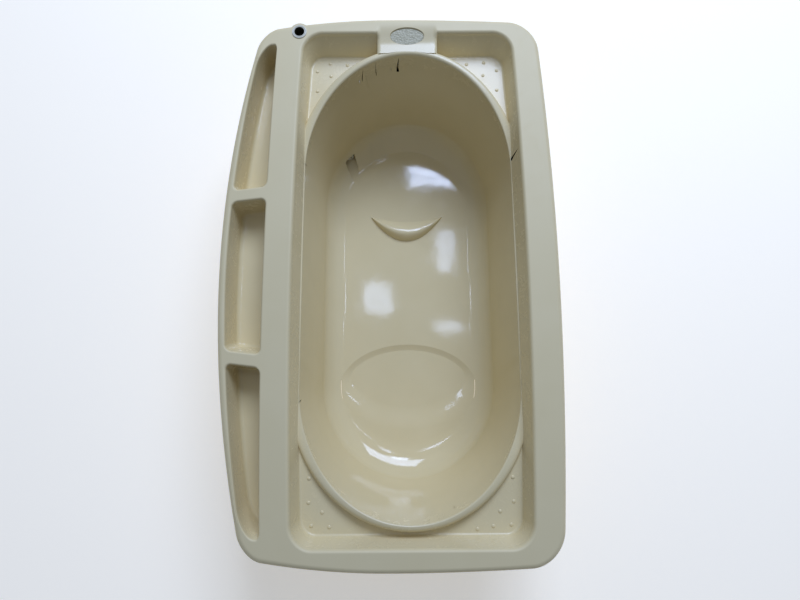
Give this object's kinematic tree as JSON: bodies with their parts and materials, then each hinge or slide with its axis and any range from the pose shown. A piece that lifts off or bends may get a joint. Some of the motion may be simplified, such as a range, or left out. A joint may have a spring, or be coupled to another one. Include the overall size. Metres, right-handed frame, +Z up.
{
  "type": "baby bath unit",
  "caption": "One-piece moulded baby bath top for a bath stand: deep rim, oval basin, side pockets and a drain hose parked in a rim hole.",
  "frame": {"origin": "middle of the basin's flat underside, on the plane the unit stands on", "axes": "+Z up, +Y towards the drain end, +X away from the side pockets"},
  "size_m": [0.53, 0.874, 0.2367],
  "materials": {
    "ivory_plastic": "glossy in the basin, finely grained on the rim",
    "badge_plastic": "coarse relief grain",
    "white_plastic": "smooth moulded",
    "seal_rubber": "matt",
    "hose_plastic": "soft satin",
    "clamp_steel": "bright rolled band"
  },
  "bodies": {
    "bath": {"bath_moulding": "ivory_plastic", "oval_badge": "badge_plastic", "rim_bush": "white_plastic", "outlet_spigot": "white_plastic", "outlet_seal": "seal_rubber", "outlet_lock_nut": "white_plastic", "drain_hose": "hose_plastic", "hose_clamp": "clamp_steel"},
    "hose_end": {"hose_nozzle": "white_plastic", "nozzle_clamp": "clamp_steel"}
  },
  "joints": [
    {"name": "hose_pull", "type": "slide", "parent": "bath", "child": "hose_end", "axis": [0, 0, -1], "range_m": [0, 0.06], "deforming": ["drain_hose"]}
  ]
}
